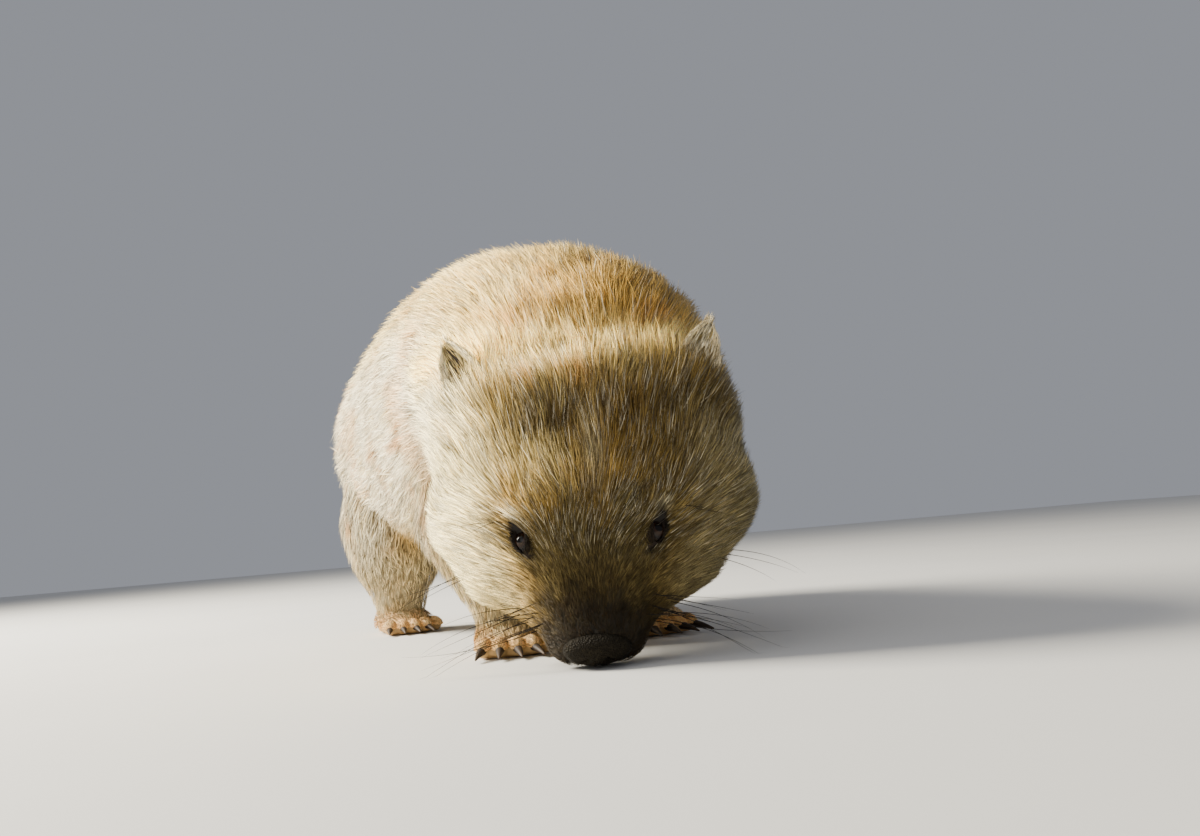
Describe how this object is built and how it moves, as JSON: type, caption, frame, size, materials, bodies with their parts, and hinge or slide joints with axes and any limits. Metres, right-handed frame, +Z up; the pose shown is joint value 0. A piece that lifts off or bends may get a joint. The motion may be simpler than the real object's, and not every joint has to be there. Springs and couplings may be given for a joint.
{
  "type": "life-size wombat model",
  "caption": "Life-size figure of a stocky short-legged marsupial grazing with its nose on the ground, with a bristly coat.",
  "frame": {"origin": "middle of the bounding box at the level of the soles", "axes": "+Z up, the animal faces -Y, +X is its left side"},
  "size_m": [0.3296, 0.7496, 0.3691],
  "materials": {
    "fur": "coarse matt fur",
    "dark_fur": "short dark fur",
    "ear_fur": "short pale fur",
    "nose": "bare grained skin",
    "claw": "horn",
    "eye": "wet and dark"
  },
  "bodies": {
    "root": {"claw_front_left_1": "claw", "claw_front_left_2": "claw", "claw_front_left_3": "claw", "claw_front_left_4": "claw", "claw_front_left_5": "claw", "claw_front_right_1": "claw", "claw_front_right_2": "claw", "claw_front_right_3": "claw", "claw_front_right_4": "claw", "claw_front_right_5": "claw", "claw_hind_left_2": "claw", "claw_hind_left_3": "claw", "claw_hind_left_4": "claw", "claw_hind_left_5": "claw", "claw_hind_right_1": "claw", "claw_hind_right_2": "claw", "claw_hind_right_3": "claw", "claw_hind_right_4": "claw", "ear_left": "ear_fur", "ear_right": "ear_fur", "eye_left": "eye", "eye_right": "eye", "foot_front_left": "dark_fur", "foot_front_right": "dark_fur", "foot_hind_left": "dark_fur", "foot_hind_right": "dark_fur", "head": "fur", "jaw": "fur", "leg_front_left_lower": "fur", "leg_front_left_upper": "fur", "leg_front_right_lower": "fur", "leg_front_right_upper": "fur", "leg_hind_left_lower": "fur", "leg_hind_left_upper": "fur", "leg_hind_right_lower": "fur", "leg_hind_right_upper": "fur", "neck": "fur", "nose": "nose", "tail": "fur", "torso": "fur"}
  },
  "joints": []
}
